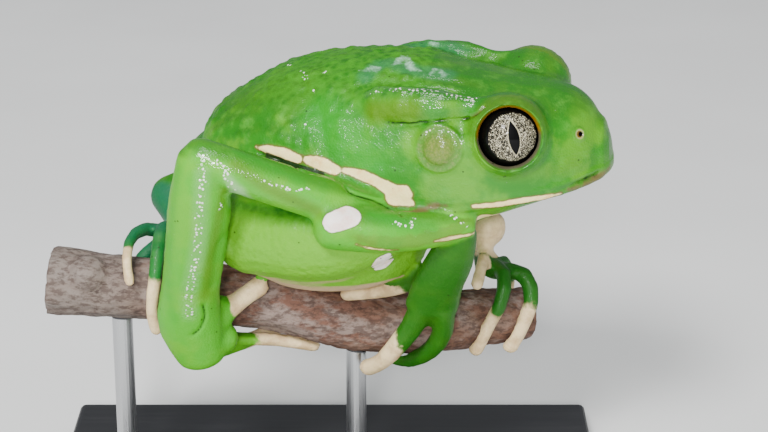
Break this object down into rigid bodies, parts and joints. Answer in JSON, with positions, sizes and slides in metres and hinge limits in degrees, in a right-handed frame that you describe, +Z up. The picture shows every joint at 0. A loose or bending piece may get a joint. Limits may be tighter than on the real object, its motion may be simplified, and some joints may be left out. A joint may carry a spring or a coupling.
{
  "type": "waxy monkey tree frog model",
  "caption": "Life-size still model of a waxy monkey tree frog gripping a cut length of branch, on a plain black display stand.",
  "frame": {"origin": "centre of the underside of the stand's base", "axes": "+X the way the frog faces and the long side of the base, +Y to the frog's left, +Z up"},
  "size_m": [0.088, 0.06, 0.0769],
  "materials": {
    "skin": "waxy, softly glossy skin",
    "eye": "wet, mirror-smooth cornea",
    "bark": "rough weathered bark",
    "base": "matt black lacquer",
    "rod": "satin"
  },
  "bodies": {
    "root": {"head": "skin", "torso": "skin", "upper_arm_right": "skin", "forearm_right": "skin", "hand_right": "skin", "upper_arm_left": "skin", "forearm_left": "skin", "hand_left": "skin", "thigh_right": "skin", "shank_right": "skin", "foot_right": "skin", "thigh_left": "skin", "shank_left": "skin", "foot_left": "skin", "eye_right": "eye", "eye_left": "eye", "perch": "bark", "stand_base": "base", "stand_rod_front": "rod", "stand_rod_rear": "rod"}
  },
  "joints": []
}
